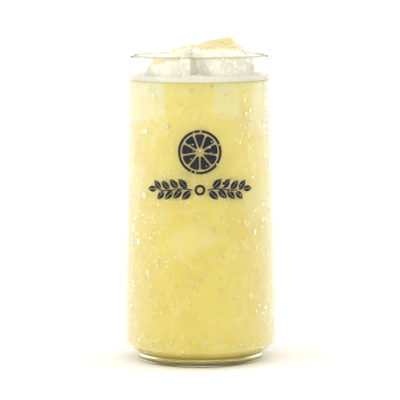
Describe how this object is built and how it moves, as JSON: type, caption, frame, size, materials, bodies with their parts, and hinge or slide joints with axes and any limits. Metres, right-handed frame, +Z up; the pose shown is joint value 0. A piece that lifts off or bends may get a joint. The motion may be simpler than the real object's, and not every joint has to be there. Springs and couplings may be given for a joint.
{
  "type": "glass of lemonade",
  "caption": "Tall tapered glass tumbler with a small foot, filled with cloudy pale yellow lemonade under a thin froth, with blocks of ice standing out of it.",
  "frame": {"origin": "middle of the foot, on the surface that the glass stands on", "axes": "+Z up along the glass's axis, -Y towards the printed front, +X to the right as seen from the front"},
  "size_m": [0.0716, 0.0716, 0.1531],
  "materials": {
    "glass": "clear polished glass, misted and beaded with condensation outside",
    "lemonade": "cloudy pale yellow liquid with a wet gloss",
    "froth": "fine off-white froth of small bubbles",
    "ice": "wet melting ice, clear at the edges and clouded inside",
    "dew": "clear beads of condensed water",
    "print": "dark enamel printed on the glass"
  },
  "bodies": {
    "root": {"glass": "glass", "lemonade": "lemonade", "froth": "froth", "ice_right": "ice", "ice_back": "ice", "ice_left": "ice"}
  },
  "joints": []
}
